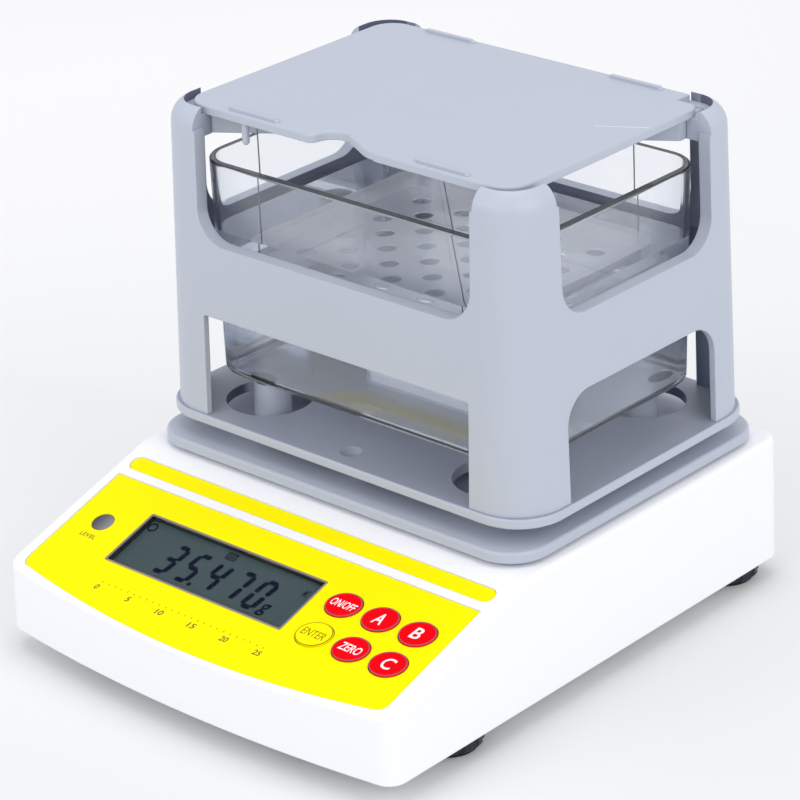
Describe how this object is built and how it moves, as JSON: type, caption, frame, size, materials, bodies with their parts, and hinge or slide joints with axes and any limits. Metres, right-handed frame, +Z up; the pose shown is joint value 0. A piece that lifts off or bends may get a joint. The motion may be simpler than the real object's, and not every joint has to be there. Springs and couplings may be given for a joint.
{
  "type": "electronic gold tester",
  "caption": "Counter-top balance for testing gold: white housing with a yellow keypad face, grey tower on a weighing pan, and a clear tray hung in a clear water tank.",
  "frame": {"origin": "on the counter, under the middle of the housing", "axes": "+Z up, -Y towards the user (the sloped control face), +X to the user's right"},
  "size_m": [0.19, 0.2284, 0.1933],
  "materials": {
    "housing_white": "fine satin moulding",
    "panel_yellow": "smooth printed sheet",
    "window_clear": "clear",
    "display_grey": "grey-green liquid crystal",
    "holder_black": "matte",
    "board_green": "solder mask",
    "part_black": "moulded",
    "level_clear": "clear with tinted liquid",
    "key_red": "smooth",
    "key_yellow": "smooth with a brown ring",
    "aluminium": "milled",
    "screw_steel": "plated",
    "tower_grey": "fine satin moulding",
    "wire_steel": "drawn wire",
    "tray_clear": "clear",
    "tank_clear": "clear",
    "pad_rubber": "matte",
    "knob_black": "moulded",
    "insert_brass": "machined"
  },
  "bodies": {
    "housing": {"housing_cover": "housing_white", "housing_base": "housing_white", "housing_screws": "screw_steel", "board_screws": "screw_steel", "post_screws": "screw_steel", "load_cell_screws": "screw_steel", "panel_sheet": "panel_yellow", "title_strip": "panel_yellow", "display_window": "window_clear", "display_glass": "display_grey", "display_holder": "holder_black", "display_board": "board_green", "key_board": "board_green", "key_switches": "part_black", "face_screws": "screw_steel", "bubble_level": "level_clear", "load_cell": "aluminium", "load_cell_block": "aluminium", "overload_stop": "screw_steel", "tank_posts": "tower_grey", "tank_pads": "pad_rubber", "main_board": "board_green", "board_parts": "part_black", "power_inlet": "holder_black", "foot_inserts": "insert_brass"},
    "weighing": {"pan_support": "aluminium", "pan_support_screws": "screw_steel", "weighing_pan": "tower_grey"},
    "tower": {"tower_base": "tower_grey", "tower_frame": "tower_grey", "tower_screws": "screw_steel"},
    "platform": {"top_plate": "tower_grey", "hanger_pegs": "tower_grey", "hanger_wires": "wire_steel", "hanging_tray": "tray_clear"},
    "tank": {"water_tank": "tank_clear"},
    "key_on_off": {"key_on_off": "key_red"},
    "key_a": {"key_a": "key_red"},
    "key_b": {"key_b": "key_red"},
    "key_enter": {"key_enter": "key_yellow"},
    "key_zero": {"key_zero": "key_red"},
    "key_c": {"key_c": "key_red"},
    "foot_front_left": {"foot_pad_front_left": "pad_rubber"},
    "knob_front_left": {"foot_knob_front_left": "knob_black", "foot_stud_front_left": "screw_steel"},
    "foot_front_right": {"foot_pad_front_right": "pad_rubber"},
    "knob_front_right": {"foot_knob_front_right": "knob_black", "foot_stud_front_right": "screw_steel"},
    "foot_rear_left": {"foot_pad_rear_left": "pad_rubber"},
    "knob_rear_left": {"foot_knob_rear_left": "knob_black", "foot_stud_rear_left": "screw_steel"},
    "foot_rear_right": {"foot_pad_rear_right": "pad_rubber"},
    "knob_rear_right": {"foot_knob_rear_right": "knob_black", "foot_stud_rear_right": "screw_steel"}
  },
  "joints": [
    {"name": "key_on_off_press", "type": "slide", "parent": "housing", "child": "key_on_off", "axis": [0, 0.304, -0.9527], "range_m": [0, 0.0005], "stiffness_N_per_m": 3000, "springref_m": -0.0003},
    {"name": "key_a_press", "type": "slide", "parent": "housing", "child": "key_a", "axis": [0, 0.304, -0.9527], "range_m": [0, 0.0005], "stiffness_N_per_m": 3000, "springref_m": -0.0003},
    {"name": "key_b_press", "type": "slide", "parent": "housing", "child": "key_b", "axis": [0, 0.304, -0.9527], "range_m": [0, 0.0005], "stiffness_N_per_m": 3000, "springref_m": -0.0003},
    {"name": "key_enter_press", "type": "slide", "parent": "housing", "child": "key_enter", "axis": [0, 0.304, -0.9527], "range_m": [0, 0.0005], "stiffness_N_per_m": 3000, "springref_m": -0.0003},
    {"name": "key_zero_press", "type": "slide", "parent": "housing", "child": "key_zero", "axis": [0, 0.304, -0.9527], "range_m": [0, 0.0005], "stiffness_N_per_m": 3000, "springref_m": -0.0003},
    {"name": "key_c_press", "type": "slide", "parent": "housing", "child": "key_c", "axis": [0, 0.304, -0.9527], "range_m": [0, 0.0005], "stiffness_N_per_m": 3000, "springref_m": -0.0003},
    {"name": "weighing_load", "type": "slide", "parent": "housing", "child": "weighing", "axis": [0, 0, 1], "range_m": [-0.0004, 0], "stiffness_N_per_m": 20000, "springref_m": 0.0004, "deforming": ["load_cell"]},
    {"name": "tower_lift", "type": "slide", "parent": "weighing", "child": "tower", "axis": [0, 0, 1], "range_m": [0, 0.008]},
    {"name": "platform_lift", "type": "slide", "parent": "tower", "child": "platform", "axis": [0, 0, 1], "range_m": [0, 0.1]},
    {"name": "tank_lift", "type": "slide", "parent": "housing", "child": "tank", "axis": [0, 0, 1], "range_m": [0, 0.005]},
    {"name": "foot_front_left_lift", "type": "slide", "parent": "housing", "child": "foot_front_left", "axis": [0, 0, 1], "range_m": [-0.005, 0]},
    {"name": "foot_front_left_turn", "type": "hinge", "parent": "foot_front_left", "child": "knob_front_left", "pos_m": [-0.0792, -0.06125, 0.004], "axis": [0, 0, 1], "range_deg": [-1800, 0]},
    {"name": "foot_front_right_lift", "type": "slide", "parent": "housing", "child": "foot_front_right", "axis": [0, 0, 1], "range_m": [-0.005, 0]},
    {"name": "foot_front_right_turn", "type": "hinge", "parent": "foot_front_right", "child": "knob_front_right", "pos_m": [0.0792, -0.06125, 0.004], "axis": [0, 0, 1], "range_deg": [-1800, 0]},
    {"name": "foot_rear_left_lift", "type": "slide", "parent": "housing", "child": "foot_rear_left", "axis": [0, 0, 1], "range_m": [-0.005, 0]},
    {"name": "foot_rear_left_turn", "type": "hinge", "parent": "foot_rear_left", "child": "knob_rear_left", "pos_m": [-0.0792, 0.0995, 0.004], "axis": [0, 0, 1], "range_deg": [-1800, 0]},
    {"name": "foot_rear_right_lift", "type": "slide", "parent": "housing", "child": "foot_rear_right", "axis": [0, 0, 1], "range_m": [-0.005, 0]},
    {"name": "foot_rear_right_turn", "type": "hinge", "parent": "foot_rear_right", "child": "knob_rear_right", "pos_m": [0.0792, 0.0995, 0.004], "axis": [0, 0, 1], "range_deg": [-1800, 0]}
  ],
  "couplings": [
    {"joint": "foot_front_left_lift", "follows": "foot_front_left_turn", "m_per_rad": 0.00015915},
    {"joint": "foot_front_right_lift", "follows": "foot_front_right_turn", "m_per_rad": 0.00015915},
    {"joint": "foot_rear_left_lift", "follows": "foot_rear_left_turn", "m_per_rad": 0.00015915},
    {"joint": "foot_rear_right_lift", "follows": "foot_rear_right_turn", "m_per_rad": 0.00015915}
  ]
}
